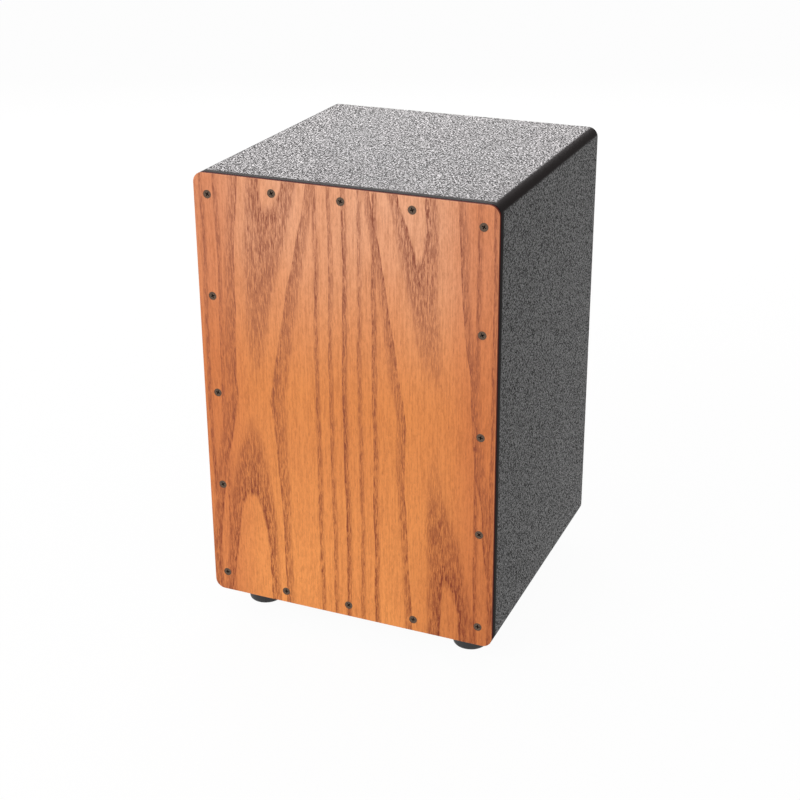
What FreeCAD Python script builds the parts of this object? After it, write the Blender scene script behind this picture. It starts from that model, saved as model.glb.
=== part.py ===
import FreeCAD, Part

import math
import os

# A string cajon: a box drum that the player sits on and strikes on its thin front plate, the tapa.
# Five fibreboard panels make the box, battens inside carry the tapa and the back panel, and two
# pairs of steel strings lie behind the tapa. A socket bolt under each pair draws a yoke down to
# tighten it. Millimetres. The origin is on the floor under the middle of the box, +Z is up, the
# tapa faces -Y, and left and right are as seen by someone who looks at the tapa.

Vec = FreeCAD.Vector
Y_AXIS = Vec(0, 1, 0)
Z_AXIS = Vec(0, 0, 1)
SIDES = (("left", -1), ("right", 1))
FIT = 0.05  # running clearance between pieces that turn or slide on each other, and round a shank

# Box
BODY_WIDTH = 300.0
BODY_DEPTH = 300.0  # from the tapa's face to the rear edges
BODY_HEIGHT = 440.0  # without the feet
WALL = 9.0  # seat, bottom and side panels
REBATE = 4.5  # depth of the rebates that take the side panels
LONG_EDGE_RADIUS = 10.0  # the four edges that run from front to rear
END_EDGE_RADIUS = 1.5  # round the front and rear openings of the box

# Tapa and back panel
TAPA_THICKNESS = 3.0
TAPA_EASE = 0.6
BACK_THICKNESS = 6.0
BACK_RECESS = 0.5
BACK_GAP = 0.2
SOUND_HOLE_RADIUS = 57.5
SOUND_HOLE_DROP = 165.0  # from the seat's face to the middle of the hole
SOUND_HOLE_EASE = 1.5

# Battens
BATTEN_WIDTH = 18.0  # across the landing that the tapa lies on
BATTEN_DEPTH = 18.0
CORNER_BATTEN = 15.0
CORNER_CHAMFER = 6.0

# Tapa screws
SCREW_LENGTH = 20.0
SCREW_SHANK_RADIUS = 1.75
SCREW_HEAD_RADIUS = 4.0
SCREW_HEAD_SINK = 0.15  # head below the tapa's face
SCREW_HOLE_RADIUS = 2.05
SIDE_SCREW_EDGE = 5.3  # from the outer face of the side batten
SIDE_SCREW_COUNT = 5
CORNER_SCREW_EDGE = 11.3  # corner screws, from the outer faces of the top and bottom battens
END_SCREW_EDGE = 3.5  # the rows between them, from the same faces
END_SCREW_PITCH = 69.0
END_SCREW_COUNT = 3
SCREW_TURN_STEP = 37.0  # degrees between the drive slots of one screw and the next

# Feet
FOOT_HEIGHT = 25.0
FOOT_TOP_RADIUS = 20.0
FOOT_BOTTOM_RADIUS = 17.0
FOOT_RIM = 4.0  # upright part under the box
FOOT_EDGE = 2.5
FOOT_WELL_RADIUS = 6.5
FOOT_WELL_DEPTH = 13.0
FOOT_SIDE_INSET = 36.0
FOOT_END_INSET = 41.0
FOOT_SCREW_RADIUS = 2.0
FOOT_SCREW_HEAD_RADIUS = 4.0
FOOT_SCREW_HEAD_HEIGHT = 2.8
FOOT_SCREW_BITE = 7.0  # into the bottom panel
FOOT_WASHER_RADIUS = 6.2
FOOT_WASHER_THICKNESS = 1.5

# Strings
STRING_RADIUS = 0.45
STRING_GAP = 0.3  # between a string and the tapa
STRING_BEND = 1.5
PAIR_SPREAD = 10.0  # each string of a pair, from the middle of the pair
STRINGS_TOP_X = 92.0
STRINGS_BOTTOM_X = 42.0
STRING_HOLE_RADIUS = 0.75
STRING_HOLE_MOUTH = 1.7
STRING_HOLE_MOUTH_DEPTH = 1.0
BALL_RADIUS = 1.9
BALL_LENGTH = 3.0
BALL_BORE = 0.8

# Anchors at the top, guides at the bottom
PLATE = 1.5  # folded steel
BRACKET_WIDTH = 36.0
BRACKET_DEPTH = 14.7
ANCHOR_DROP = 14.0
ANCHOR_HOLE_DROP = 9.0
GUIDE_LEG_WIDTH = 12.0
GUIDE_LEG_HEIGHT = 21.0
BRACKET_SCREW_SPREAD = 13.0
SMALL_SCREW_LENGTH = 14.0
SMALL_SCREW_SHANK_RADIUS = 1.5
SMALL_SCREW_HEAD_RADIUS = 2.9

# Tension bolts and yokes
BOLT_RADIUS = 2.5
BOLT_LENGTH = 45.0
BOLT_HEAD_RADIUS = 4.25
BOLT_HEAD_HEIGHT = 5.0
BOLT_SOCKET_WIDTH = 4.0  # across the flats
BOLT_SOCKET_DEPTH = 2.6
BOLT_WASHER_RADIUS = 5.0
BOLT_WASHER_THICKNESS = 1.0
BOLT_WELL_RADIUS = 5.6
BOLT_HOLE_RADIUS = 3.0
YOKE_WIDTH = 30.0
YOKE_HEIGHT = 8.0
YOKE_LIFT = 7.0  # from the batten to the underside of the yoke, at playing tension
YOKE_GUIDE_GAP = 0.3

# Worked out from the sizes above
FRONT = -BODY_DEPTH / 2
REAR = BODY_DEPTH / 2
SHELL_FRONT = FRONT + TAPA_THICKNESS
BASE = FOOT_HEIGHT
TOP = BASE + BODY_HEIGHT
HALF_WIDTH = BODY_WIDTH / 2
INNER_X = HALF_WIDTH - WALL
INNER_BASE = BASE + WALL
INNER_TOP = TOP - WALL
BACK_INSIDE = REAR - BACK_RECESS - BACK_THICKNESS
FRONT_BATTEN_BACK = SHELL_FRONT + BATTEN_DEPTH
REAR_BATTEN_FRONT = BACK_INSIDE - BATTEN_DEPTH
OPENING_X = INNER_X - BATTEN_WIDTH
OPENING_BASE = INNER_BASE + BATTEN_WIDTH
OPENING_TOP = INNER_TOP - BATTEN_WIDTH
SOUND_HOLE_Z = TOP - SOUND_HOLE_DROP
STRING_Y = SHELL_FRONT + STRING_GAP + STRING_RADIUS
HARDWARE_FRONT = STRING_Y + STRING_RADIUS + FIT
BOLT_Y = SHELL_FRONT + BATTEN_DEPTH / 2
ANCHOR_HOLE_Z = OPENING_TOP - ANCHOR_HOLE_DROP
YOKE_BASE = OPENING_BASE + YOKE_LIFT
YOKE_Z = YOKE_BASE + YOKE_HEIGHT / 2
GUIDE_LEG_BACK = HARDWARE_FRONT + BRACKET_DEPTH
YOKE_BACK = GUIDE_LEG_BACK - PLATE - YOKE_GUIDE_GAP
BOLT_WASHER_TOP = BASE + BOLT_HEAD_HEIGHT + BOLT_WASHER_THICKNESS + 4 * FIT
BOLT_SEAT = BOLT_WASHER_TOP - BOLT_WASHER_THICKNESS - FIT


def block(x_low, x_high, y_low, y_high, z_low, z_high):
    return Part.makeBox(x_high - x_low, y_high - y_low, z_high - z_low, Vec(x_low, y_low, z_low))


def rod(radius, start, end):
    return Part.makeCylinder(radius, (end - start).Length, start, end - start)


def turned(outline):
    """A solid turned about Z from an outline of (radius, height) points."""
    points = [Vec(radius, 0, height) for radius, height in outline]
    face = Part.Face(Part.makePolygon(points + points[:1]))
    return face.revolve(Vec(0, 0, 0), Z_AXIS, 360)


def edges_in_plane(solid, y):
    return [e for e in solid.Edges if abs(e.BoundBox.YMin - y) < 1e-4 and abs(e.BoundBox.YMax - y) < 1e-4]


def rounded_box(y_low, y_high, radius):
    """The outline of the drum, with round corners, from y_low to y_high."""
    box = block(-HALF_WIDTH, HALF_WIDTH, y_low, y_high, BASE, TOP)
    long_edges = [e for e in box.Edges if e.BoundBox.YLength > (y_high - y_low) / 2]
    return box.makeFillet(radius, long_edges)


def one_solid(shape):
    return shape.removeSplitter().Solids[0]


def shell_envelope():
    box = rounded_box(SHELL_FRONT, REAR, LONG_EDGE_RADIUS)
    ends = edges_in_plane(box, SHELL_FRONT) + edges_in_plane(box, REAR)
    return box.makeFillet(END_EDGE_RADIUS, ends)


# Screws. Each is made with the middle of its head's face at the origin and its tip down.


def cross_recess(radius, depth):
    """The cross slot of a screw head, narrower at its foot."""
    width = radius * 0.42
    slots = [
        block(-radius, radius, -width / 2, width / 2, -depth, 1),
        block(-width / 2, width / 2, -radius, radius, -depth, 1),
    ]
    cone = Part.makeCone(radius * 0.45, radius, depth, Vec(0, 0, -depth))
    return slots[0].fuse(slots[1]).common(cone.fuse(rod(radius, Vec(0, 0, 0), Vec(0, 0, 1))))


def countersunk_screw(length, shank_radius, head_radius):
    rim = 0.25
    taper = head_radius - shank_radius
    point = 2 * shank_radius
    outline = [
        (0, 0),
        (head_radius, 0),
        (head_radius, -rim),
        (shank_radius, -rim - taper),
        (shank_radius, point - length),
        (0, -length),
    ]
    return turned(outline).cut(cross_recess(head_radius * 0.58, head_radius * 0.42))


def pan_screw(length, shank_radius, head_radius, head_height):
    point = 2 * shank_radius
    outline = [
        (0, 0),
        (head_radius * 0.7, 0),
        (head_radius, -head_height * 0.45),
        (head_radius, -head_height),
        (shank_radius, -head_height),
        (shank_radius, point - length),
        (0, -length),
    ]
    return turned(outline).cut(cross_recess(head_radius * 0.55, head_height * 0.6))


def driven(screw, head, direction, turn=0.0):
    """The screw with its head's face at head and its tip pointing along direction."""
    placed = screw.copy()
    aim = FreeCAD.Rotation(Vec(0, 0, -1), direction)
    placed.Placement = FreeCAD.Placement(head, aim.multiply(FreeCAD.Rotation(Z_AXIS, turn)))
    return placed


# Places of what repeats


def tapa_screw_places():
    """(x, z) of each tapa screw: a column down each side, and a row between them at each end."""
    x = INNER_X - SIDE_SCREW_EDGE
    lowest = INNER_BASE + CORNER_SCREW_EDGE
    pitch = (INNER_TOP - CORNER_SCREW_EDGE - lowest) / (SIDE_SCREW_COUNT - 1)
    sides = [(side * x, lowest + pitch * n) for _, side in SIDES for n in range(SIDE_SCREW_COUNT)]
    ends = [
        ((n - (END_SCREW_COUNT - 1) / 2) * END_SCREW_PITCH, z)
        for z in (INNER_BASE + END_SCREW_EDGE, INNER_TOP - END_SCREW_EDGE)
        for n in range(END_SCREW_COUNT)
    ]
    return sides + ends


def foot_places():
    """name and (x, y) of each foot."""
    return [
        (f"{end}_{name}", side * (HALF_WIDTH - FOOT_SIDE_INSET), y)
        for end, y in (("front", FRONT + FOOT_END_INSET), ("rear", REAR - FOOT_END_INSET))
        for name, side in SIDES
    ]


def bracket_screw_places(middle_x):
    return [middle_x - BRACKET_SCREW_SPREAD, middle_x + BRACKET_SCREW_SPREAD]


def tapa_pilot_holes():
    radius = SCREW_SHANK_RADIUS + FIT
    return [
        rod(radius, Vec(x, SHELL_FRONT, z), Vec(x, FRONT + SCREW_HEAD_SINK + SCREW_LENGTH + FIT, z))
        for x, z in tapa_screw_places()
    ]


def cut_all(solid, tools):
    return one_solid(solid.cut(Part.makeCompound(tools)))


# Box


def seat_and_bottom(envelope):
    """The seat and bottom panels, with a rebate along each side for the side panels."""
    panels = {}
    for name, low, high, inner in (
        ("seat_panel", INNER_TOP, TOP, INNER_TOP),
        ("bottom_panel", BASE, INNER_BASE, INNER_BASE - REBATE),
    ):
        panel = block(-HALF_WIDTH, HALF_WIDTH, SHELL_FRONT, REAR, low, high)
        for _, side in SIDES:
            x_low, x_high = sorted((side * INNER_X, side * HALF_WIDTH))
            panel = panel.cut(block(x_low, x_high, SHELL_FRONT, REAR, inner, inner + REBATE))
        panels[name] = one_solid(panel.common(envelope))
    panels["bottom_panel"] = cut_all(panels["bottom_panel"], foot_pilot_holes() + bolt_holes())
    return panels


def side_panels(envelope):
    panels = {}
    for name, side in SIDES:
        x_low, x_high = sorted((side * INNER_X, side * HALF_WIDTH))
        panel = block(x_low, x_high, SHELL_FRONT, REAR, INNER_BASE - REBATE, INNER_TOP + REBATE)
        panels[f"{name}_side_panel"] = one_solid(panel.common(envelope))
    return panels


def back_panel():
    x = INNER_X - BACK_GAP
    panel = block(-x, x, BACK_INSIDE, REAR - BACK_RECESS, INNER_BASE + BACK_GAP, INNER_TOP - BACK_GAP)
    centre = Vec(0, BACK_INSIDE - 1, SOUND_HOLE_Z)
    panel = panel.cut(rod(SOUND_HOLE_RADIUS, centre, centre + Y_AXIS * (BACK_THICKNESS + 2)))
    rims = [e for e in panel.Edges if abs(e.BoundBox.XLength - 2 * SOUND_HOLE_RADIUS) < 0.01]
    outer = [e for e in rims if e.BoundBox.YMin > BACK_INSIDE + BACK_THICKNESS / 2]
    return {"back_panel": panel.makeFillet(SOUND_HOLE_EASE, outer)}


def tapa():
    plate = rounded_box(FRONT, SHELL_FRONT, LONG_EDGE_RADIUS)
    plate = plate.makeFillet(TAPA_EASE, edges_in_plane(plate, FRONT))
    mouth = SCREW_HEAD_RADIUS + SCREW_HEAD_SINK
    depth = mouth - SCREW_HOLE_RADIUS
    tools = []
    for x, z in tapa_screw_places():
        face = Vec(x, FRONT, z)
        tools.append(rod(SCREW_HOLE_RADIUS, face, face + Y_AXIS * TAPA_THICKNESS))
        tools.append(rod(mouth, face, face + Y_AXIS * (2 * SCREW_HEAD_SINK)))
        cone = Part.makeCone(mouth, SCREW_HOLE_RADIUS, depth, face + Y_AXIS * (2 * SCREW_HEAD_SINK), Y_AXIS)
        tools.append(cone)
    return {"tapa": cut_all(plate, tools)}


def tapa_screws():
    screw = countersunk_screw(SCREW_LENGTH, SCREW_SHANK_RADIUS, SCREW_HEAD_RADIUS)
    solids = [
        driven(screw, Vec(x, FRONT + SCREW_HEAD_SINK, z), Y_AXIS, n * SCREW_TURN_STEP)
        for n, (x, z) in enumerate(tapa_screw_places())
    ]
    return {"tapa_screws": Part.makeCompound(solids)}


# Battens


def frame_battens(end, y_low, y_high):
    """Four battens round one opening of the box: top and bottom run right across."""
    battens = {
        f"{end}_top_batten": block(-INNER_X, INNER_X, y_low, y_high, OPENING_TOP, INNER_TOP),
        f"{end}_bottom_batten": block(-INNER_X, INNER_X, y_low, y_high, INNER_BASE, OPENING_BASE),
    }
    for name, side in SIDES:
        x_low, x_high = sorted((side * OPENING_X, side * INNER_X))
        battens[f"{end}_{name}_batten"] = block(x_low, x_high, y_low, y_high, OPENING_BASE, OPENING_TOP)
    return battens


def drilled_front_battens():
    holes = tapa_pilot_holes() + bolt_holes() + bracket_pilot_holes()
    battens = frame_battens("front", SHELL_FRONT, FRONT_BATTEN_BACK)
    return {name: cut_all(batten, holes) for name, batten in battens.items()}


def corner_battens():
    """Four battens in the long corners, between the two frames, each with its inner corner taken off."""
    battens = {}
    for level, z_wall, z_in in (("upper", INNER_TOP, -1), ("lower", INNER_BASE, 1)):
        for name, side in SIDES:
            x_wall = side * INNER_X
            outline = [
                (x_wall, z_wall),
                (x_wall - side * CORNER_BATTEN, z_wall),
                (x_wall - side * CORNER_BATTEN, z_wall + z_in * (CORNER_BATTEN - CORNER_CHAMFER)),
                (x_wall - side * (CORNER_BATTEN - CORNER_CHAMFER), z_wall + z_in * CORNER_BATTEN),
                (x_wall, z_wall + z_in * CORNER_BATTEN),
            ]
            points = [Vec(x, FRONT_BATTEN_BACK, z) for x, z in outline]
            face = Part.Face(Part.makePolygon(points + points[:1]))
            length = REAR_BATTEN_FRONT - FRONT_BATTEN_BACK
            battens[f"{level}_{name}_corner_batten"] = face.extrude(Y_AXIS * length)
    return battens


# Feet


def foot():
    """A rubber foot with its top face at the underside of the box, and a well for the screw's head."""
    outline = [
        (FOOT_SCREW_RADIUS + FIT, FOOT_HEIGHT),
        (FOOT_TOP_RADIUS, FOOT_HEIGHT),
        (FOOT_TOP_RADIUS, FOOT_HEIGHT - FOOT_RIM),
        (FOOT_BOTTOM_RADIUS, 0),
        (FOOT_WELL_RADIUS, 0),
        (FOOT_WELL_RADIUS, FOOT_WELL_DEPTH),
        (FOOT_SCREW_RADIUS + FIT, FOOT_WELL_DEPTH),
    ]
    solid = turned(outline)
    rim = [
        e
        for e in solid.Edges
        if e.BoundBox.ZMax < 0.01 and abs(e.BoundBox.XLength - 2 * FOOT_BOTTOM_RADIUS) < 0.01
    ]
    return solid.makeFillet(FOOT_EDGE, rim)


def foot_pilot_holes():
    radius = FOOT_SCREW_RADIUS + FIT
    return [
        rod(radius, Vec(x, y, BASE), Vec(x, y, BASE + FOOT_SCREW_BITE + FIT)) for _, x, y in foot_places()
    ]


def feet():
    nodes, washers, screws = {}, [], []
    washer_base = FOOT_WELL_DEPTH - FOOT_WASHER_THICKNESS
    washer = rod(FOOT_WASHER_RADIUS, Z_AXIS * washer_base, Z_AXIS * FOOT_WELL_DEPTH)
    washer = washer.cut(rod(FOOT_SCREW_RADIUS + FIT, Z_AXIS * washer_base, Z_AXIS * FOOT_WELL_DEPTH))
    head_face = washer_base - FOOT_SCREW_HEAD_HEIGHT
    length = BASE + FOOT_SCREW_BITE - head_face
    screw = pan_screw(length, FOOT_SCREW_RADIUS, FOOT_SCREW_HEAD_RADIUS, FOOT_SCREW_HEAD_HEIGHT)
    for number, (name, x, y) in enumerate(foot_places()):
        nodes[f"{name}_foot"] = foot().translated(Vec(x, y, 0))
        washers.append(washer.translated(Vec(x, y, 0)))
        screws.append(driven(screw, Vec(x, y, head_face), Z_AXIS, number * SCREW_TURN_STEP))
    nodes["foot_washers"] = Part.makeCompound(washers)
    nodes["foot_screws"] = Part.makeCompound(screws)
    return nodes


# Strings and their hardware


def string_hole(x, z, depth):
    """A hole from the front of a bracket or yoke, with a flared mouth that the string bends over."""
    face = Vec(x, HARDWARE_FRONT, z)
    mouth = Part.makeCone(STRING_HOLE_MOUTH, STRING_HOLE_RADIUS, STRING_HOLE_MOUTH_DEPTH, face, Y_AXIS)
    return rod(STRING_HOLE_RADIUS, face, face + Y_AXIS * depth).fuse(mouth)


def pair_places(middle_x):
    return [middle_x - PAIR_SPREAD, middle_x + PAIR_SPREAD]


def small_screw():
    return countersunk_screw(SMALL_SCREW_LENGTH, SMALL_SCREW_SHANK_RADIUS, SMALL_SCREW_HEAD_RADIUS)


def bracket_screw_y():
    return HARDWARE_FRONT + BRACKET_DEPTH / 2


def screw_seat(x, z, direction):
    """The countersunk hole for a small screw whose head is flush at height z, driven along direction."""
    head = Vec(x, bracket_screw_y(), z)
    mouth = SMALL_SCREW_HEAD_RADIUS + FIT
    shank = SMALL_SCREW_SHANK_RADIUS + FIT
    drop = 0.25
    cone = Part.makeCone(mouth, shank, mouth - shank, head + direction * drop, direction)
    rim = rod(mouth, head - direction * drop, head + direction * drop)
    return rim.fuse(cone).fuse(rod(shank, head, head + direction * PLATE * 2))


def bracket_pilot_holes():
    """Pilot holes and countersink room in the front battens for the screws of the anchors and guides."""
    radius = SMALL_SCREW_SHANK_RADIUS + FIT
    y = bracket_screw_y()
    holes = []
    for middle, z, direction in (
        (STRINGS_TOP_X, OPENING_TOP - PLATE, Z_AXIS),
        (STRINGS_BOTTOM_X, OPENING_BASE + PLATE, -Z_AXIS),
    ):
        for _, side in SIDES:
            for x in bracket_screw_places(side * middle):
                head = Vec(x, y, z)
                holes.append(rod(radius, head, head + direction * (SMALL_SCREW_LENGTH + FIT)))
                holes.append(screw_seat(x, z, direction))
    return holes


def string_anchor(side):
    """A folded plate under the top batten. Its flange hangs behind the tapa, and holds two strings."""
    middle = side * STRINGS_TOP_X
    x_low, x_high = middle - BRACKET_WIDTH / 2, middle + BRACKET_WIDTH / 2
    back = HARDWARE_FRONT + BRACKET_DEPTH
    leaf = block(x_low, x_high, HARDWARE_FRONT, back, OPENING_TOP - PLATE, OPENING_TOP)
    flange = block(
        x_low, x_high, HARDWARE_FRONT, HARDWARE_FRONT + PLATE, OPENING_TOP - ANCHOR_DROP, OPENING_TOP
    )
    tools = [string_hole(x, ANCHOR_HOLE_Z, PLATE) for x in pair_places(middle)]
    tools += [screw_seat(x, OPENING_TOP - PLATE, Z_AXIS) for x in bracket_screw_places(middle)]
    return cut_all(leaf.fuse(flange), tools)


def tension_guide(side):
    """A folded plate on the bottom batten. Its leg stands behind the yoke and keeps it from turning."""
    middle = side * STRINGS_BOTTOM_X
    x_low, x_high = middle - BRACKET_WIDTH / 2, middle + BRACKET_WIDTH / 2
    leaf = block(x_low, x_high, HARDWARE_FRONT, GUIDE_LEG_BACK, OPENING_BASE, OPENING_BASE + PLATE)
    leg = block(
        middle - GUIDE_LEG_WIDTH / 2,
        middle + GUIDE_LEG_WIDTH / 2,
        GUIDE_LEG_BACK - PLATE,
        GUIDE_LEG_BACK,
        OPENING_BASE,
        OPENING_BASE + GUIDE_LEG_HEIGHT,
    )
    bolt_hole = rod(BOLT_HOLE_RADIUS, Vec(middle, BOLT_Y, OPENING_BASE), Vec(middle, BOLT_Y, YOKE_BASE))
    tools = [bolt_hole]
    tools += [screw_seat(x, OPENING_BASE + PLATE, -Z_AXIS) for x in bracket_screw_places(middle)]
    return cut_all(leaf.fuse(leg), tools)


def bracket_screws():
    """Small wood screws: up into the top batten for the anchors, down into the bottom one for the guides."""
    screw = small_screw()
    y = bracket_screw_y()
    anchors, guides = [], []
    for _, side in SIDES:
        for x in bracket_screw_places(side * STRINGS_TOP_X):
            turn = len(anchors) * SCREW_TURN_STEP
            anchors.append(driven(screw, Vec(x, y, OPENING_TOP - PLATE), Z_AXIS, turn))
        for x in bracket_screw_places(side * STRINGS_BOTTOM_X):
            turn = len(guides) * SCREW_TURN_STEP
            guides.append(driven(screw, Vec(x, y, OPENING_BASE + PLATE), -Z_AXIS, turn))
    return {"anchor_screws": Part.makeCompound(anchors), "guide_screws": Part.makeCompound(guides)}


def bolt_holes():
    """The stepped hole of each tension bolt, up through the bottom panel and the batten on it."""
    holes = []
    for _, side in SIDES:
        foot_point = Vec(side * STRINGS_BOTTOM_X, BOLT_Y, BASE)
        well_top = Vec(foot_point.x, BOLT_Y, BOLT_WASHER_TOP)
        holes.append(rod(BOLT_WELL_RADIUS, foot_point, well_top))
        holes.append(rod(BOLT_HOLE_RADIUS, foot_point, Vec(foot_point.x, BOLT_Y, OPENING_BASE)))
    return holes


def tension_bolt(side):
    """A socket bolt with its head down in the bottom panel and its shank up through the yoke."""
    x = side * STRINGS_BOTTOM_X
    seat = Vec(x, BOLT_Y, BOLT_SEAT)
    head_base = Vec(x, BOLT_Y, BOLT_SEAT - BOLT_HEAD_HEIGHT)
    head = rod(BOLT_HEAD_RADIUS, head_base, seat)
    lower_rim = [e for e in head.Edges if e.BoundBox.ZMax < head_base.z + 0.01]
    head = head.makeFillet(0.6, lower_rim)
    shank = rod(BOLT_RADIUS, seat, seat + Z_AXIS * BOLT_LENGTH)
    tip_rim = [e for e in shank.Edges if e.BoundBox.ZMin > seat.z + BOLT_LENGTH - 0.01]
    shank = shank.makeChamfer(0.5, tip_rim)
    corner = Vec(BOLT_SOCKET_WIDTH / math.sqrt(3), 0, 0)
    hexagon = [head_base + FreeCAD.Rotation(Z_AXIS, 60 * n).multVec(corner) for n in range(7)]
    socket = Part.Face(Part.makePolygon(hexagon)).extrude(Z_AXIS * BOLT_SOCKET_DEPTH)
    return one_solid(head.fuse(shank).cut(socket))


def bolt_washers():
    washers = []
    for _, side in SIDES:
        top = Vec(side * STRINGS_BOTTOM_X, BOLT_Y, BOLT_WASHER_TOP)
        base = top - Z_AXIS * BOLT_WASHER_THICKNESS
        washers.append(rod(BOLT_WASHER_RADIUS, base, top).cut(rod(BOLT_HOLE_RADIUS, base, top)))
    return {"bolt_washers": Part.makeCompound(washers)}


def tension_yoke(side):
    """A steel bar that the bolt draws down. The strings of one pair pass through it to their balls."""
    middle = side * STRINGS_BOTTOM_X
    x_low, x_high = middle - YOKE_WIDTH / 2, middle + YOKE_WIDTH / 2
    bar = block(x_low, x_high, HARDWARE_FRONT, YOKE_BACK, YOKE_BASE, YOKE_BASE + YOKE_HEIGHT)
    upright = [e for e in bar.Edges if e.BoundBox.ZLength > YOKE_HEIGHT / 2]
    bar = bar.makeChamfer(1.0, upright)
    thread = rod(
        BOLT_RADIUS + FIT, Vec(middle, BOLT_Y, YOKE_BASE), Vec(middle, BOLT_Y, YOKE_BASE + YOKE_HEIGHT)
    )
    depth = YOKE_BACK - HARDWARE_FRONT
    tools = [thread] + [string_hole(x, YOKE_Z, depth) for x in pair_places(middle)]
    return cut_all(bar, tools)


def ball_end(x, y, z):
    """The brass barrel on a string's end, lying across the string, with its waist and its bore."""
    outline = [
        (BALL_BORE, -BALL_LENGTH / 2),
        (BALL_RADIUS, -BALL_LENGTH / 2),
        (BALL_RADIUS, -BALL_LENGTH / 6),
        (BALL_RADIUS - STRING_RADIUS, 0),
        (BALL_RADIUS, BALL_LENGTH / 6),
        (BALL_RADIUS, BALL_LENGTH / 2),
        (BALL_BORE, BALL_LENGTH / 2),
    ]
    barrel = turned(outline)
    barrel.rotate(Vec(0, 0, 0), Y_AXIS, 90)
    return barrel.translated(Vec(x, y, z))


def string_solid(top_x, bottom_x):
    """One string: forward through the anchor, down behind the tapa, and back through the yoke."""
    top = Vec(top_x, STRING_Y, ANCHOR_HOLE_Z)
    bottom = Vec(bottom_x, STRING_Y, YOKE_Z)
    down = (bottom - top).normalize()
    bend = STRING_BEND
    swing = bend * (1 - math.sqrt(0.5))
    top_end = Vec(top.x, HARDWARE_FRONT + PLATE + FIT, top.z)
    bottom_end = Vec(bottom.x, YOKE_BACK + FIT, bottom.z)
    edges = [
        Part.LineSegment(top_end, top + Y_AXIS * bend),
        Part.Arc(top + Y_AXIS * bend, top + (Y_AXIS + down) * swing, top + down * bend),
        Part.LineSegment(top + down * bend, bottom - down * bend),
        Part.Arc(bottom - down * bend, bottom + (Y_AXIS - down) * swing, bottom + Y_AXIS * bend),
        Part.LineSegment(bottom + Y_AXIS * bend, bottom_end),
    ]
    path = Part.Wire([edge.toShape() for edge in edges])
    circle = Part.Wire(Part.makeCircle(STRING_RADIUS, top_end, -Y_AXIS))
    return path.makePipeShell([circle], True, False)


def strings():
    nodes, upper_balls = {}, []
    for name, side in SIDES:
        tops = pair_places(side * STRINGS_TOP_X)
        bottoms = pair_places(side * STRINGS_BOTTOM_X)
        nodes[f"{name}_strings"] = Part.makeCompound([string_solid(t, b) for t, b in zip(tops, bottoms)])
        ball_y = HARDWARE_FRONT + PLATE + BALL_RADIUS
        upper_balls += [ball_end(x, ball_y + FIT, ANCHOR_HOLE_Z) for x in tops]
        lower = [ball_end(x, YOKE_BACK + BALL_RADIUS + FIT, YOKE_Z) for x in bottoms]
        nodes[f"{name}_lower_ball_ends"] = Part.makeCompound(lower)
    nodes["upper_ball_ends"] = Part.makeCompound(upper_balls)
    return nodes


def tension_hardware():
    nodes = {}
    for name, side in SIDES:
        nodes[f"{name}_string_anchor"] = string_anchor(side)
        nodes[f"{name}_tension_guide"] = tension_guide(side)
        nodes[f"{name}_tension_bolt"] = tension_bolt(side)
        nodes[f"{name}_tension_yoke"] = tension_yoke(side)
    return nodes


def cajon():
    envelope = shell_envelope()
    nodes = {}
    nodes.update(seat_and_bottom(envelope))
    nodes.update(side_panels(envelope))
    nodes.update(back_panel())
    nodes.update(tapa())
    nodes.update(tapa_screws())
    nodes.update(drilled_front_battens())
    nodes.update(frame_battens("rear", REAR_BATTEN_FRONT, BACK_INSIDE))
    nodes.update(corner_battens())
    nodes.update(feet())
    nodes.update(tension_hardware())
    nodes.update(bolt_washers())
    nodes.update(bracket_screws())
    nodes.update(strings())
    return nodes


os.makedirs("parts", exist_ok=True)
for node, shape in cajon().items():
    shape.exportStep(f"parts/{node}.step")
    print(node, len(shape.Solids), "solids", round(shape.Volume, 1), "mm3", "valid", shape.isValid())
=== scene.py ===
import math

import bmesh
import bpy
from mathutils import Matrix, Vector


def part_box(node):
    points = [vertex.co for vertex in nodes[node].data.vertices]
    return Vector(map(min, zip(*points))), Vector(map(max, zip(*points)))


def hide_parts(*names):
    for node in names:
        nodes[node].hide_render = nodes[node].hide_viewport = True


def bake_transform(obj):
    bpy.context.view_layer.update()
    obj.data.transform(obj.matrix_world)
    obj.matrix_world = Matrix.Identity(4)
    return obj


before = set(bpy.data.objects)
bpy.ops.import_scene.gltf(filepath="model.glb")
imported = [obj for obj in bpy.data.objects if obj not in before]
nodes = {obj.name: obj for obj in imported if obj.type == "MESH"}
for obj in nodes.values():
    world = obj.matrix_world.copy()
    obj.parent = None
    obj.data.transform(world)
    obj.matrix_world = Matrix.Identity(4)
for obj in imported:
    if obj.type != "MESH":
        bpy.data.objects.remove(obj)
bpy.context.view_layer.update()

scene = bpy.context.scene

MM = 0.001
X_AXIS = Vector((1, 0, 0))
Y_AXIS = Vector((0, 1, 0))
Z_AXIS = Vector((0, 0, 1))
WHITE = (1, 1, 1, 1)


# Shader arithmetic


class Value:
    """A shader socket on which Python arithmetic adds Math nodes."""

    def __init__(self, finish, socket):
        self.finish = finish
        self.socket = socket

    def __add__(self, other):
        return self.finish.math("ADD", self, other)

    def __sub__(self, other):
        return self.finish.math("SUBTRACT", self, other)

    def __rsub__(self, other):
        return self.finish.math("SUBTRACT", other, self)

    def __mul__(self, other):
        return self.finish.math("MULTIPLY", self, other)

    def __truediv__(self, other):
        return self.finish.math("DIVIDE", self, other)

    def __rtruediv__(self, other):
        return self.finish.math("DIVIDE", other, self)

    def __abs__(self):
        return self.finish.math("ABSOLUTE", self)

    __radd__ = __add__
    __rmul__ = __mul__


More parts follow.
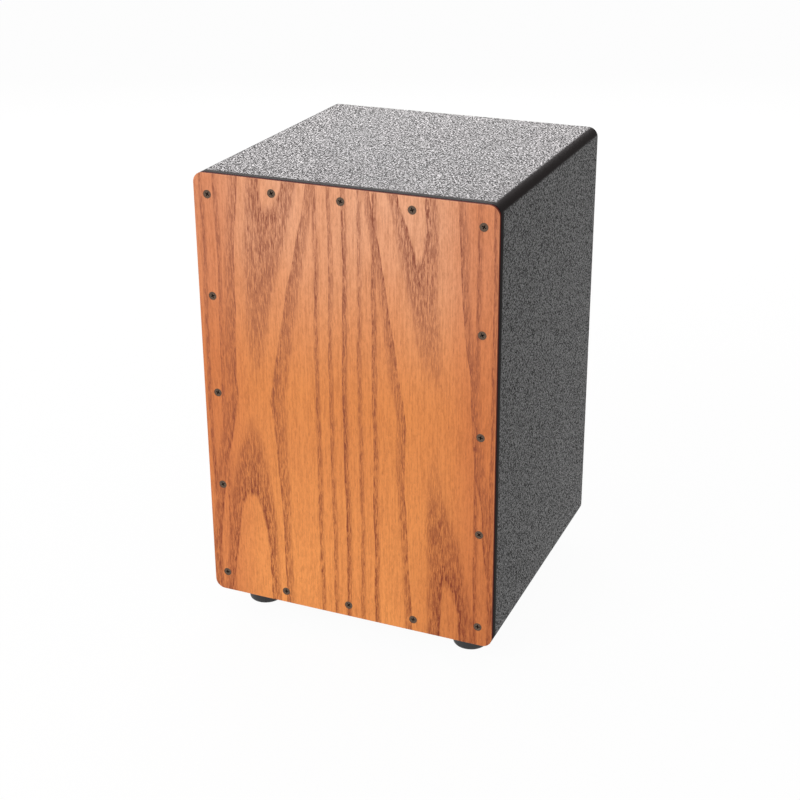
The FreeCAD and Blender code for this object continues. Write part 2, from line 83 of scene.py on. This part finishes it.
class Finish:
    """The nodes of a material, or of the world, under construction."""

    def __init__(self, owner):
        owner.use_nodes = True
        self.owner = owner
        self.tree = owner.node_tree
        self.tree.nodes.clear()

    def add(self, kind, settings=None, inputs=None, output=0):
        """Adds a node, with its settings first and then its inputs, by name or by number."""
        node = self.tree.nodes.new("ShaderNode" + kind)
        for key, setting in (settings or {}).items():
            if key == "stops":
                self.set_stops(node.color_ramp, setting)
            else:
                setattr(node, key, setting)
        for key, value in (inputs or {}).items():
            if isinstance(value, Value):
                self.tree.links.new(value.socket, node.inputs[key])
            else:
                node.inputs[key].default_value = value
        return Value(self, node.outputs[output]) if node.outputs else node

    @staticmethod
    def set_stops(ramp, stops):
        """Gives a ramp its grey stops, each as (place from 0 to 1, level)."""
        while len(ramp.elements) < len(stops):
            ramp.elements.new(1.0)
        for element, (place, level) in zip(ramp.elements, stops):
            element.position = place
            element.color = (level, level, level, 1)

    def math(self, operation, *values):
        return self.add("Math", {"operation": operation}, dict(enumerate(values)))

    def place(self):
        """Object coordinates in millimetres."""
        spot = self.add("TexCoord", output="Object")
        return self.add("VectorMath", {"operation": "SCALE"}, {0: spot, "Scale": 1 / MM})

    def split(self, vector):
        spread = self.add("SeparateXYZ", inputs={0: vector}).socket.node
        return [Value(self, socket) for socket in spread.outputs]

    def facing(self):
        """The three parts of the surface's direction."""
        return self.split(self.add("NewGeometry", output="Normal"))

    def stretch(self, vector, sizes):
        """The vector divided by the sizes, so that a pattern of size 1 gets those sizes."""
        factors = tuple(1 / size for size in sizes)
        return self.add("VectorMath", {"operation": "MULTIPLY"}, {0: vector, 1: factors})

    def noise(self, vector, sizes, detail=2.0, roughness=0.5):
        inputs = {
            "Vector": self.stretch(vector, sizes),
            "Scale": 1.0,
            "Detail": detail,
            "Roughness": roughness,
        }
        return self.add("TexNoise", {"noise_dimensions": "3D"}, inputs)

    def cells(self, vector, sizes):
        """Distance from the middle of soft-edged cells."""
        inputs = {"Vector": self.stretch(vector, sizes), "Scale": 1.0}
        return self.add("TexVoronoi", {"feature": "SMOOTH_F1"}, inputs)

    def step(self, value, low, high):
        """0 at low and 1 at high, with a soft change between."""
        inputs = {0: value, 1: low, 2: high, 3: 0.0, 4: 1.0}
        return self.add("MapRange", {"interpolation_type": "SMOOTHSTEP"}, inputs)

    def band(self, value, low, high, soft):
        """1 between low and high and 0 outside, with soft changes."""
        above = self.step(value, low - soft, low + soft)
        return above * (1 - self.step(value, high - soft, high + soft))

    def mix(self, factor, first, second, blend="MIX"):
        settings = {"data_type": "RGBA", "blend_type": blend, "clamp_factor": True}
        return self.add("Mix", settings, {0: factor, 6: first, 7: second}, output=2)

    def bump(self, height, strength, distance):
        return self.add("Bump", None, {"Height": height, "Strength": strength, "Distance": distance})

    def shader(self, **inputs):
        named = {key.replace("_", " "): value for key, value in inputs.items()}
        return self.add("BsdfPrincipled", None, named)

    def finish_with(self, shader):
        self.add("OutputMaterial", None, {"Surface": shader})
        return self.owner

    def surface(self, **inputs):
        """Ends the material with one Principled shader."""
        return self.finish_with(self.shader(**inputs))

    def blend(self, factor, first, second):
        return self.add("MixShader", None, {0: factor, 1: first, 2: second})


def new_finish(name):
    return Finish(bpy.data.materials.new(name))


def colour(red, green, blue):
    """A screen colour from 0 to 255 as the linear colour that shaders take, by the sRGB curve."""
    levels = [c / 255 for c in (red, green, blue)]
    linear = [c / 12.92 if c <= 0.04045 else ((c + 0.055) / 1.055) ** 2.4 for c in levels]
    return (*linear, 1.0)


# Growth rings of the veneer

# The grain is measured in millimetres from the plate's box: across from its middle, up from its foot.
plate_low, plate_high = (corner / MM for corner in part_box("tapa"))
PLATE_MIDDLE = (plate_low.x + plate_high.x) / 2
PLATE_HALF = (plate_high.x - plate_low.x) / 2
PLATE_HEIGHT = plate_high.z - plate_low.z
WAIST_HEIGHT = PLATE_HEIGHT / 2

RING_SPACING = PLATE_HALF / 10
RING_ONSET = 0.4
RING_MARGIN = 5.0
RING_LIMIT = PLATE_HALF + RING_MARGIN
EDGE_INSET = RING_SPACING / 3

HEART_PLACE = PLATE_HALF * 5 / 8
HEART_LEAN = PLATE_HALF / 8
HEART_BOW = PLATE_HALF / 32
HEART_REACH = RING_SPACING * 3
HEART_FROM = -RING_SPACING * 2
HEART_TO = RING_SPACING * 6


def even_rings(first, count, width):
    """Growth rings at even spacing, strong and weak in turn, each as (start, strength, width)."""
    return [(first + n * RING_SPACING, 0.85 if n % 2 else 1.0, width) for n in range(count)]


def ring_stops(rings, lowest, highest):
    """Ramp stops for growth rings: each begins sharply and fades outwards."""
    marks = []
    for start, strength, width in rings:
        marks += [
            (start - RING_ONSET, 0.0),
            (start, strength),
            (start + width * 0.12, strength * 0.7),
            (start + width * 0.7, strength * 0.5),
            (start + width, 0.0),
        ]
    return [((at - lowest) / (highest - lowest), level) for at, level in marks]


def ring_ramp(f, distance, rings, lowest, highest):
    """Reads the rings off a ramp that runs from the lowest distance to the highest."""
    reach = (distance - lowest) / (highest - lowest)
    return f.add("ValToRGB", {"stops": ring_stops(rings, lowest, highest)}, {0: reach})


class Heart:
    """One cathedral figure: where the flat-cut growth rings open upwards and downwards from a waist."""

    def __init__(self, middle, lean, bow, depth, taper_up, taper_down, rings):
        self.middle = middle
        self.lean = lean
        self.bow = bow
        self.depth = depth
        self.taper_up = taper_up
        self.taper_down = taper_down
        self.rings = rings

    def growth(self, f, x, z, wander):
        """How far out a point is in the tree, in millimetres."""
        rise = z / WAIST_HEIGHT - 1
        across = x - (self.middle + rise * self.lean + rise * rise * self.bow)
        square = across * across
        spread = f.math("SQRT", square + self.depth**2) - self.depth
        above = f.math("MAXIMUM", z - WAIST_HEIGHT, 0.0) * self.taper_up
        below = f.math("MAXIMUM", WAIST_HEIGHT - z, 0.0) * self.taper_down
        opening = (above + below) / (1 + square / HEART_REACH**2)
        return spread - opening + wander

    def pores(self, f, x, z, wander):
        return ring_ramp(f, self.growth(f, x, z, wander), self.rings, HEART_FROM, HEART_TO)


LEFT_HEART = Heart(
    middle=-HEART_PLACE, lean=HEART_LEAN, bow=HEART_BOW, depth=40, taper_up=0.065, taper_down=0.11,
    rings=even_rings(-RING_SPACING * 0.8, 2, 9.5),
)
RIGHT_HEART = Heart(
    middle=HEART_PLACE, lean=-HEART_LEAN, bow=-HEART_BOW, depth=70, taper_up=0.04, taper_down=0.046,
    rings=even_rings(-RING_SPACING / 2, 2, 5.3),
)

# Upright rings: five between the hearts, and two along each edge
MIDDLE_RINGS = even_rings(-RING_SPACING * 2, 5, 5.5)
EDGE_RINGS = (
    even_rings(EDGE_INSET - PLATE_HALF, 2, 5) + even_rings(PLATE_HALF - EDGE_INSET - RING_SPACING, 2, 5)
)


def wave(f, place, width, height, detail, reach):
    """How far the grain wanders sideways, over waves of this width and height."""
    return (f.noise(place, (width, width, height), detail) - 0.5) * reach


def ring_pores(f, place, x, z):
    """1 in the rings' rows of pores and 0 between them."""
    wander = wave(f, place, 55, 150, 1, 9) + wave(f, place, 9, 45, 2, 2.4)
    drift = wave(f, place, 70, 170, 1, 9) + wave(f, place, 8, 40, 2, 2.2)
    left = LEFT_HEART.pores(f, x, z, wander)
    right = RIGHT_HEART.pores(f, x, z, wander)
    pores = f.math("MAXIMUM", left, right)
    for rings in (MIDDLE_RINGS, EDGE_RINGS):
        pores = f.math("MAXIMUM", pores, ring_ramp(f, x + drift, rings, -RING_LIMIT, RING_LIMIT))
    return pores


# Stained ash veneer

ASH_FOOT = colour(234, 149, 76)
ASH_WAIST = colour(215, 131, 64)
# Paler, pinkish top of the plate: partly the stain's tone, partly a painted sheen
ASH_TOP_AND_SHEEN = colour(221, 158, 121)
ASH_SIDES = colour(186, 96, 50)
ASH_LOW_RIGHT = colour(186, 100, 44)
ASH_CLOUDS = colour(203, 118, 62)
# Pale tone of the eased edges: partly wear, partly a painted highlight
ASH_WEAR_AND_HIGHLIGHT = colour(226, 160, 112)
# Tints for a painted sunlit copy of the wood and a painted shaded copy, which the fibres mix
SUNLIT_WOOD_TINT = (1.05, 1.06, 1.08, 1)
SHADED_FIBRE_TINT = (0.76, 0.7, 0.64, 1)
PORE_FOOT = colour(118, 40, 10)
PORE_TOP = colour(126, 62, 42)

# Sizes of the grain's details: across, through and along the plate
PORE_DASH = (1.2, 4, 10)
FINE_DASH = (0.8, 4, 6)
STRAY_PORE = (1.0, 4, 9)
FIBRE = (1.1, 4, 40)
FLECK = (1.7, 4, 6)
ASH_CLOUD = (45, 45, 110)
PLAIN_REACH = PLATE_HALF * 3 / 4
PLAIN_SOFT = 22


def ash_wood(f, x, z, fibre, flecks, cloud):
    """The wood between the pores: paler at the top, partly as painted sheen, redder at the sides, darker
    low on the right, with fibres that mix painted sunlit and shaded copies of it.
    """
    wood = f.mix(f.step(z, 0, WAIST_HEIGHT), ASH_FOOT, ASH_WAIST)
    # Paler towards the top: the stain's tone together with a painted sheen
    wood = f.mix(f.step(z, WAIST_HEIGHT, PLATE_HEIGHT), wood, ASH_TOP_AND_SHEEN)
    red_sides = 1 - f.band(x, -PLAIN_REACH, PLAIN_REACH, PLAIN_SOFT)
    wood = f.mix(red_sides * 0.55, wood, ASH_SIDES)
    to_the_right = f.step(x, PLATE_HALF / 4, PLATE_HALF * 2 / 3)
    low_down = 1 - f.step(z, WAIST_HEIGHT / 4, WAIST_HEIGHT * 3 / 4)
    wood = f.mix(to_the_right * low_down * 0.5, wood, ASH_LOW_RIGHT)
    wood = f.mix(f.step(cloud, -0.3, 0.3) * 0.3, wood, ASH_CLOUDS)
    # A painted sunlit copy of the wood, and a painted shaded copy that the fibre and fleck noise mixes in
    wood = f.mix(1.0, wood, SUNLIT_WOOD_TINT, "MULTIPLY")
    darker = f.mix(1.0, wood, SHADED_FIBRE_TINT, "MULTIPLY")
    return f.mix(0.62 + fibre * 3.0 + flecks * 3.0, darker, wood)


def ash_veneer():
    """Lacquered ash on the plate's face, with its layers bare on the edge and at the back."""
    f = new_finish("ash veneer")
    place = f.place()
    x, y, z = f.split(place)
    x = x - PLATE_MIDDLE
    z = z - plate_low.z
    along = f.facing()[1]

    dashes = f.step(f.noise(place, PORE_DASH, 3, 0.65), 0.46, 0.54)
    fine_dashes = f.step(f.noise(place, FINE_DASH, 2), 0.48, 0.56)
    stray = f.step(f.noise(place, STRAY_PORE, 2), 0.62, 0.72) * 0.3
    open_pores = ring_pores(f, place, x, z) * (0.3 + dashes * 0.7 + fine_dashes * 0.45) + stray

    fibre = f.noise(place, FIBRE, 4, 0.7) - 0.5
    flecks = f.noise(place, FLECK, 3, 0.75) - 0.5
    cloud = f.noise(place, ASH_CLOUD, 2) - 0.5
    stain = f.mix(f.step(z, 0, PLATE_HEIGHT), PORE_FOOT, PORE_TOP)
    face = f.mix(open_pores * 0.92, ash_wood(f, x, z, fibre, flecks, cloud), stain)
    # Pale band on the eased front edges: partly wear, partly a painted highlight
    wear_and_highlight = f.band(along, -0.93, -0.35, 0.12)
    face = f.mix(wear_and_highlight * 0.3, face, ASH_WEAR_AND_HIGHLIGHT)
    lacquered = f.shader(
        Base_Color=face,
        Roughness=0.44 + open_pores * 0.18 + cloud * 0.1,
        Specular_IOR_Level=0.3,
        Coat_Weight=0.06,
        Coat_Roughness=0.3,
        Normal=f.bump(1 - open_pores, 0.25, 0.15 * MM),
    )

    layers = f.step(f.math("FRACT", y - plate_low.y), 0.45, 0.55)
    edge = f.mix(layers * 0.5, colour(104, 26, 16), colour(66, 18, 12))
    back = f.mix(0.5 + fibre * 1.5, colour(196, 164, 122), colour(214, 186, 146))
    bare = f.shader(
        Base_Color=f.mix(f.step(along, 0.4, 0.6), edge, back),
        Roughness=0.8,
        Specular_IOR_Level=0.15,
    )
    on_face = 1 - f.step(along, -0.45, -0.2)
    return f.finish_with(f.blend(on_face, bare, lacquered))


# Spatter coat of the case

BLOB_SIZE = 1.3
PEBBLE_SIZE = 1.7
COAT_CLOUD = 60
COAT_RELIEF = 1.1 * MM
# Depth and fade of the painted shade along the case's front rim
RIM_DEPTH = 5
RIM_FADE = 4
SKIN = 0.2
SKIN_SOFT = 0.05


def inside_case(f, x, y, z):
    """1 on the case's inner faces and 0 outside, from the panels' boxes."""
    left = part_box("left_side_panel")[1].x / MM
    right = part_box("right_side_panel")[0].x / MM
    floor_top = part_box("bottom_panel")[1].z / MM
    seat_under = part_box("seat_panel")[0].z / MM
    back_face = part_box("back_panel")[0].y / MM
    between_sides = f.band(x, left - SKIN, right + SKIN, SKIN_SOFT)
    under_seat = f.band(z, floor_top - SKIN, seat_under + SKIN, SKIN_SOFT)
    return between_sides * under_seat * (1 - f.step(y, back_face, back_face + SKIN))


def dark_edges_and_rim_shade(f, y):
    """1 on the rounded long edges, which are drawn near-black, and along the front rim beside the plate,
    where shade is painted.
    """
    sides, _, tops = f.facing()
    rounded = f.step(abs(sides), 0.12, 0.4) * f.step(abs(tops), 0.12, 0.4)
    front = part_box("seat_panel")[0].y / MM
    rim = 1 - f.step(y, front + RIM_DEPTH, front + RIM_DEPTH + RIM_FADE)
    return f.math("MAXIMUM", rounded, rim)


def texture_coat():
    """Black spatter coat outside, and raw board inside the case, near-black on the rounded edges, with
    painted shade along the front rim.
    """
    f = new_finish("black texture coat")
    place = f.place()
    x, y, z = f.split(place)
    inside = inside_case(f, x, y, z)
    edge_and_rim_dark = dark_edges_and_rim_shade(f, y)
    blobs = f.noise(place, (BLOB_SIZE,) * 3, 3, 0.65)
    pebbles = 1 - f.cells(place, (PEBBLE_SIZE,) * 3)
    cloud = f.noise(place, (COAT_CLOUD,) * 3, 2)
    relief = f.step(blobs * 0.65 + pebbles * 0.35, 0.42, 0.58) * (1 - edge_and_rim_dark * 0.8)
    paint = f.mix(relief, colour(10, 9, 9), colour(32, 29, 28))
    paint = f.mix(cloud * 0.25, paint, colour(30, 27, 27))
    # Near-black on the rounded long edges, and painted shade along the front rim beside the plate
    paint = f.mix(edge_and_rim_dark * 0.8, paint, colour(10, 8, 8))
    board = f.mix(f.noise(place, (0.6, 30, 30), 3), colour(186, 150, 108), colour(206, 174, 132))
    spattered = f.shader(
        Base_Color=f.mix(inside, paint, board),
        Roughness=0.85 - relief * 0.55 + inside * relief * 0.4,
        Specular_IOR_Level=0.4,
        Normal=f.bump(relief * (1 - inside), 1.0, COAT_RELIEF),
    )
    # A smooth near-black finish for the rounded edges and for the painted rim shade
    near_black_edge_coat = f.shader(
        Base_Color=f.mix(cloud, colour(12, 5, 4), colour(20, 10, 9)),
        Roughness=0.6,
        Specular_IOR_Level=0.04,
        Normal=f.bump(blobs, 0.2, 0.3 * MM),
    )
    return f.finish_with(f.blend(edge_and_rim_dark * 0.97, spattered, near_black_edge_coat))


# Pine, metals and rubber

PINE_RING = 7
PINE_RUN = 160
PINE_FIBRE = 14


def pine(name, sizes):
    """Planed pine with its grain along the longest of the sizes."""
    f = new_finish(name)
    place = f.place()
    rings = f.noise(place, sizes, 2, 0.4)
    late = f.step(f.math("FRACT", rings * 7), 0.45, 0.95)
    fibre = f.noise(place, [size / PINE_FIBRE for size in sizes], 3)
    wood = f.mix(late * 0.7, colour(226, 192, 138), colour(184, 134, 80))
    wood = f.mix(fibre * 0.3, wood, colour(206, 164, 108))
    return f.surface(
        Base_Color=wood,
        Roughness=0.62 + fibre * 0.1,
        Normal=f.bump(late, 0.15, 0.2 * MM),
    )


METAL_GRAIN = 0.5
METAL_CLOUD = 6
METAL_RELIEF = 0.05 * MM


def metal(name, tone, rough, metallic=1.0):
    """Metal with a fine grain and cloudy tarnish."""
    f = new_finish(name)
    place = f.place()
    grain = f.noise(place, (METAL_GRAIN,) * 3, 3, 0.6)
    cloud = f.noise(place, (METAL_CLOUD,) * 3, 2)
    darker = tuple(c * 0.72 for c in tone[:3]) + (1.0,)
    return f.surface(
        Base_Color=f.mix(grain * 0.6 + cloud * 0.4, darker, tone),
        Metallic=metallic,
        Roughness=rough + (cloud - 0.5) * 0.15,
        Normal=f.bump(grain, 0.1, METAL_RELIEF),
    )


SCREW_GRAIN = 0.6
RECESS_FROM = 0.12
RECESS_TO = 0.3


def black_screw():
    """Blackened heads, rubbed paler on their faces, with painted shade in the recess."""
    f = new_finish("black screw")
    place = f.place()
    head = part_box("tapa_screws")[0].y / MM
    # Painted shade: near-black in the cross recess below the head's face
    recess_shade = f.step(f.split(place)[1], head + RECESS_FROM, head + RECESS_TO)
    grain = f.noise(place, (SCREW_GRAIN,) * 3, 3, 0.6)
    face = f.mix(grain, colour(78, 64, 55), colour(116, 98, 84))
    return f.surface(
        Base_Color=f.mix(recess_shade, face, colour(16, 13, 12)),
        Metallic=0.9,
        Roughness=0.34 + recess_shade * 0.3 + grain * 0.08,
        Normal=f.bump(grain, 0.1, METAL_RELIEF),
    )


RUBBER_GRAIN = 0.5
RUBBER_RELIEF = 0.1 * MM
DUST = (7, 7, 3)


def rubber():
    f = new_finish("black rubber")
    place = f.place()
    grain = f.noise(place, (RUBBER_GRAIN,) * 3, 3)
    dust = f.step(f.noise(place, DUST, 3), 0.5, 0.75)
    return f.surface(
        Base_Color=f.mix(dust * 0.4 + grain * 0.1, colour(28, 28, 29), colour(58, 57, 56)),
        Roughness=0.52 + dust * 0.15,
        Normal=f.bump(grain, 0.2, RUBBER_RELIEF),
    )


WINDING = 14
WINDING_RELIEF = 0.08 * MM
WIRE_CLOUD = (3, 3, 8)


def wound_wire():
    """Steel wire wound round a core: fine ridges down the string."""
    f = new_finish("string steel")
    place = f.place()
    turns = f.math("SINE", f.split(place)[2] * WINDING)
    cloud = f.noise(place, WIRE_CLOUD, 2)
    return f.surface(
        Base_Color=f.mix(turns * 0.3 + cloud * 0.5, colour(150, 150, 150), colour(208, 206, 202)),
        Metallic=1.0,
        Roughness=0.3 + cloud * 0.1,
        Normal=f.bump(turns, 0.5, WINDING_RELIEF),
    )


# Which finish goes on which piece


def dress(node, material):
    """Gives a CAD node a finish through its object's material slots."""
    piece = nodes[node]
    if not piece.material_slots:
        piece.data.materials.append(None)
    for spot in piece.material_slots:
        spot.link = "OBJECT"
        spot.material = material


coat = texture_coat()
zinc = metal("zinc steel", colour(188, 191, 194), 0.34)
pine_upright = pine("pine along Z", (PINE_RING, PINE_RING, PINE_RUN))
pine_level = pine("pine along X", (PINE_RUN, PINE_RING, PINE_RING))
pine_deep = pine("pine along Y", (PINE_RING, PINE_RUN, PINE_RING))
black_bolt = metal("black bolt", colour(52, 51, 52), 0.36, metallic=0.8)
black_rubber = rubber()
brass = metal("brass", colour(206, 168, 92), 0.26)
FINISHES = {
    "tapa": ash_veneer(),
    "tapa_screws": black_screw(),
    "seat_panel": coat,
    "bottom_panel": coat,
    "left_side_panel": coat,
    "right_side_panel": coat,
    "back_panel": coat,
}


def finish_for(name):
    """The finish of a node, by its name. What is in no other list is plated steel."""
    if name in FINISHES:
        return FINISHES[name]
    if name.endswith("corner_batten"):
        return pine_deep
    if name.endswith("batten"):
        return pine_upright if "left" in name or "right" in name else pine_level
    if name.endswith("foot"):
        return black_rubber
    if name.endswith("tension_bolt"):
        return black_bolt
    if name.endswith("ball_ends"):
        return brass
    return zinc


for name in nodes:
    dress(name, finish_for(name))


# Strings

STRING_RADIUS = 0.45 * MM
STRING_BEND = 1.5 * MM
STRING_SIDES = 12
BEND_STEPS = 6
RUN_STEPS = 16
BALL_HALF = 1.5 * MM


def middle_of(node):
    low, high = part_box(node)
    return (low + high) / 2


def ring_edges(geometry):
    return [e for e in geometry if isinstance(e, bmesh.types.BMEdge)]


def draw_out(bm, edges, step, count):
    """Extrudes an open ring of edges in a straight run."""
    for _ in range(count):
        made = bmesh.ops.extrude_edge_only(bm, edges=edges)["geom"]
        edges = ring_edges(made)
        moved = [v for v in made if isinstance(v, bmesh.types.BMVert)]
        bmesh.ops.translate(bm, vec=step, verts=moved)
    return edges


def turn_out(bm, edges, centre, axis):
    """Spins an open ring of edges through a quarter turn."""
    made = bmesh.ops.spin(
        bm, geom=edges, cent=centre, axis=axis, angle=math.pi / 2, steps=BEND_STEPS, use_merge=False
    )
    return ring_edges(made["geom_last"])


def add_string(bm, top, bottom, start_y, end_y):
    """One string: forward through the anchor, down behind the tapa, and back through the yoke."""
    down = (bottom - top).normalized()
    start = Vector((top.x, start_y, top.z))
    facing = Matrix.Translation(start) @ Matrix.Rotation(math.pi / 2, 4, "X")
    ring = bmesh.ops.create_circle(bm, segments=STRING_SIDES, radius=STRING_RADIUS, matrix=facing)["verts"]
    first = list({e for v in ring for e in v.link_edges})
    edges = draw_out(bm, first, top + Y_AXIS * STRING_BEND - start, 1)
    edges = turn_out(bm, edges, top + (Y_AXIS + down) * STRING_BEND, (-Y_AXIS).cross(down))
    run = (bottom - top) - down * STRING_BEND * 2
    edges = draw_out(bm, edges, run / RUN_STEPS, RUN_STEPS)
    edges = turn_out(bm, edges, bottom + (Y_AXIS - down) * STRING_BEND, down.cross(Y_AXIS))
    end = Vector((bottom.x, end_y, bottom.z))
    edges = draw_out(bm, edges, end - (bottom + Y_AXIS * STRING_BEND), 1)
    for rim in (first, edges):
        bmesh.ops.edgeloop_fill(bm, edges=rim)


def finished(name, bm, material):
    """Turns a bmesh into an object with smooth faces that point outwards."""
    bmesh.ops.recalc_face_normals(bm, faces=bm.faces)
    mesh = bpy.data.meshes.new(name)
    bm.to_mesh(mesh)
    bm.free()
    mesh.materials.append(material)
    mesh.shade_smooth()
    piece = bpy.data.objects.new(name, mesh)
    scene.collection.objects.link(piece)
    return piece


def snare_strings(side, material):
    """The two strings of one side, from their anchor down to their yoke, which they follow."""
    strings_low, strings_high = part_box(side + "_strings")
    balls_low, balls_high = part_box(side + "_lower_ball_ends")
    run_y = strings_low.y + STRING_RADIUS
    top = Vector((middle_of(side + "_string_anchor").x, run_y, middle_of("upper_ball_ends").z))
    bottom = Vector((middle_of(side + "_tension_yoke").x, run_y, (balls_low.z + balls_high.z) / 2))
    spread = X_AXIS * ((balls_high.x - balls_low.x) / 2 - BALL_HALF)
    start_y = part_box("upper_ball_ends")[0].y
    bm = bmesh.new()
    for shift in (-spread, spread):
        add_string(bm, top + shift, bottom + shift, start_y, strings_high.y)
    snare = finished(side + "_snare_strings", bm, material)
    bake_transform(snare)
    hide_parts(side + "_strings")


wire = wound_wire()
for side in ("left", "right"):
    snare_strings(side, wire)


# Floor and surroundings

FLOOR_HALF = 30.0
FLOOR_DROP = -0.2 * MM
FLOOR_GLOW = 0.96
FLOOR_MOTTLE = 900
FLOOR_PALE = (0.9, 0.9, 0.9, 1)
FLOOR_GREY = (0.86, 0.86, 0.86, 1)
WORLD_LIGHT = 0.55


def seen_directly(f):
    """1 for rays that show the background: from the camera, from gloss or through glass."""
    rays = f.add("LightPath").socket.node.outputs
    seen = f.math("MAXIMUM", Value(f, rays["Is Camera Ray"]), Value(f, rays["Is Glossy Ray"]))
    return f.math("MAXIMUM", seen, Value(f, rays["Is Transmission Ray"]))


def white_floor():
    f = new_finish("white floor")
    mottle = f.noise(f.place(), (FLOOR_MOTTLE,) * 3, 2)
    plain = f.add("BsdfDiffuse", None, {"Color": f.mix(mottle * 0.1, FLOOR_PALE, FLOOR_GREY)})
    glow = f.add("Emission", None, {"Color": WHITE, "Strength": 1.0})
    return f.finish_with(f.blend(seen_directly(f) * FLOOR_GLOW, plain, glow))


def white_world():
    """White where it is seen, and dimmer as a light on the object."""
    f = Finish(bpy.data.worlds.new("studio"))
    strength = WORLD_LIGHT + seen_directly(f) * (1 - WORLD_LIGHT)
    background = f.add("Background", None, {"Color": WHITE, "Strength": strength})
    f.add("OutputWorld", None, {"Surface": background})
    return f.owner


bm = bmesh.new()
bmesh.ops.create_grid(bm, x_segments=2, y_segments=2, size=FLOOR_HALF)
bmesh.ops.translate(bm, vec=Z_AXIS * FLOOR_DROP, verts=bm.verts)
floor = finished("floor", bm, white_floor())
scene.world = white_world()


# Lamps


def lamp(name, place, aim, size, power, tint=(1, 1, 1)):
    """A soft box that points from its place to its aim."""
    data = bpy.data.lights.new(name, "AREA")
    data.shape = "RECTANGLE"
    data.size, data.size_y = size
    data.energy = power
    data.color = tint
    light = bpy.data.objects.new(name, data)
    scene.collection.objects.link(light)
    light.location = place
    light.rotation_mode = "QUATERNION"
    light.rotation_quaternion = (Vector(aim) - Vector(place)).to_track_quat("-Z", "Y")
    light.visible_camera = False


lamp("front soft box", (-0.9, -2.3, 1.7), (0, 0, 0.25), (1.4, 1.4), 42)
lamp("rear soft box", (-0.85, 2.0, 1.15), (0, 0, 0.46), (2.2, 0.9), 35, (1.0, 0.955, 0.965))


# Camera

AZIMUTH = math.radians(23.06)
ELEVATION = math.radians(22.07)
ROLL = math.radians(-0.33)
DISTANCE = 1.551
TARGET = Vector((-0.007, 0, 0.255))
SENSOR = 36
LENS = 68.25
SHIFT_UP = -0.065
CLIP_NEAR = 0.05
CLIP_FAR = 100

back = Vector((
    math.sin(AZIMUTH) * math.cos(ELEVATION),
    -math.cos(AZIMUTH) * math.cos(ELEVATION),
    math.sin(ELEVATION),
))
level = Z_AXIS.cross(back).normalized()
upward = back.cross(level)
across = level * math.cos(ROLL) + upward * math.sin(ROLL)
upright = upward * math.cos(ROLL) - level * math.sin(ROLL)
turn = Matrix((across, upright, back)).transposed().to_4x4()

camera = bpy.data.objects.new("camera", bpy.data.cameras.new("camera"))
scene.collection.objects.link(camera)
camera.data.sensor_width = SENSOR
camera.data.lens = LENS
camera.data.shift_y = SHIFT_UP
camera.data.clip_start = CLIP_NEAR
camera.data.clip_end = CLIP_FAR
camera.matrix_world = Matrix.Translation(TARGET + back * DISTANCE) @ turn
scene.camera = camera
scene.view_settings.view_transform = "Standard"
